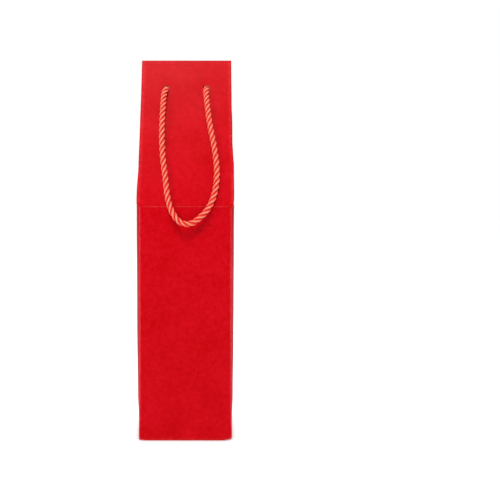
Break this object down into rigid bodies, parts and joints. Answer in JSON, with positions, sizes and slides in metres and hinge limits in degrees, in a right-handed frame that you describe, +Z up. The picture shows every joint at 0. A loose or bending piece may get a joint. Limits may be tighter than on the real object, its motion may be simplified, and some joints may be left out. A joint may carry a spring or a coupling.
{
  "type": "wine gift bag",
  "caption": "Tall square paper carrier for one wine bottle, with a folding gusseted top, turned-in reinforced hem and two twisted cord handles.",
  "frame": {"origin": "centre of the base on the surface that the bag stands on", "axes": "+Z up the bag, the front with the nearer handle faces -Y, +X to its right seen from the front"},
  "size_m": [0.09, 0.1108, 0.3778],
  "materials": {
    "red_paper": "matt, softly mottled uncoated paper",
    "grey_card": "plain grey board",
    "twisted_cord": "silky three-strand twisted cord",
    "cord_end_plastic": "satin moulded plastic"
  },
  "bodies": {
    "bag_body": {"front_panel": "red_paper", "back_panel": "red_paper", "left_panel": "red_paper", "right_panel": "red_paper", "side_seam_flap": "red_paper", "front_bottom_flap": "red_paper", "back_bottom_flap": "red_paper", "left_bottom_flap": "red_paper", "right_bottom_flap": "red_paper", "base_board": "grey_card"},
    "front_top": {"front_top_panel": "red_paper", "front_top_card": "grey_card", "front_top_hem": "red_paper", "front_left_cord_end": "cord_end_plastic", "front_right_cord_end": "cord_end_plastic"},
    "back_top": {"back_top_panel": "red_paper", "back_top_card": "grey_card", "back_top_hem": "red_paper", "back_left_cord_end": "cord_end_plastic", "back_right_cord_end": "cord_end_plastic"},
    "left_gusset": {"left_gusset": "red_paper"},
    "right_gusset": {"right_gusset": "red_paper"},
    "front_left_wing": {"front_left_wing": "red_paper"},
    "front_right_wing": {"front_right_wing": "red_paper"},
    "back_left_wing": {"back_left_wing": "red_paper"},
    "back_right_wing": {"back_right_wing": "red_paper"},
    "front_handle": {"front_cord": "twisted_cord"},
    "back_handle": {"back_cord": "twisted_cord"}
  },
  "joints": [
    {"name": "front_top_fold", "type": "hinge", "parent": "bag_body", "child": "front_top", "pos_m": [0, -0.04375, 0.231], "axis": [1, 0, 0], "range_deg": [0, 15.67]},
    {"name": "back_top_fold", "type": "hinge", "parent": "bag_body", "child": "back_top", "pos_m": [0, 0.04375, 0.231], "axis": [-1, 0, 0], "range_deg": [0, 15.67]},
    {"name": "left_gusset_fold", "type": "hinge", "parent": "bag_body", "child": "left_gusset", "pos_m": [-0.04475, 0, 0.231], "axis": [0, -1, 0], "range_deg": [0, 16.69]},
    {"name": "right_gusset_fold", "type": "hinge", "parent": "bag_body", "child": "right_gusset", "pos_m": [0.04475, 0, 0.231], "axis": [0, 1, 0], "range_deg": [0, 16.69]},
    {"name": "front_left_wing_fold", "type": "hinge", "parent": "front_top", "child": "front_left_wing", "pos_m": [-0.04375, -0.0428, 0.23066], "axis": [0, 0.2702, 0.9628], "range_deg": [0, 90]},
    {"name": "front_right_wing_fold", "type": "hinge", "parent": "front_top", "child": "front_right_wing", "pos_m": [0.04375, -0.0428, 0.23066], "axis": [0, -0.2702, -0.9628], "range_deg": [0, 90]},
    {"name": "back_left_wing_fold", "type": "hinge", "parent": "back_top", "child": "back_left_wing", "pos_m": [-0.04375, 0.0428, 0.23066], "axis": [0, 0.2702, -0.9628], "range_deg": [0, 90]},
    {"name": "back_right_wing_fold", "type": "hinge", "parent": "back_top", "child": "back_right_wing", "pos_m": [0.04375, 0.0428, 0.23066], "axis": [0, -0.2702, 0.9628], "range_deg": [0, 90]},
    {"name": "front_handle_swing", "type": "hinge", "parent": "front_top", "child": "front_handle", "pos_m": [0, -0.01408, 0.34984], "axis": [-1, 0, 0], "range_deg": [0, 163]},
    {"name": "back_handle_swing", "type": "hinge", "parent": "back_top", "child": "back_handle", "pos_m": [0, 0.01408, 0.34984], "axis": [1, 0, 0], "range_deg": [0, 163]}
  ],
  "couplings": [
    {"joint": "back_top_fold", "follows": "front_top_fold", "ratio": 1},
    {"joint": "left_gusset_fold", "follows": "front_top_fold", "ratio": 1.0649},
    {"joint": "right_gusset_fold", "follows": "front_top_fold", "ratio": 1.0649},
    {"joint": "front_left_wing_fold", "follows": "front_top_fold", "ratio": 5.742},
    {"joint": "front_right_wing_fold", "follows": "front_top_fold", "ratio": 5.742},
    {"joint": "back_left_wing_fold", "follows": "front_top_fold", "ratio": 5.742},
    {"joint": "back_right_wing_fold", "follows": "front_top_fold", "ratio": 5.742}
  ]
}
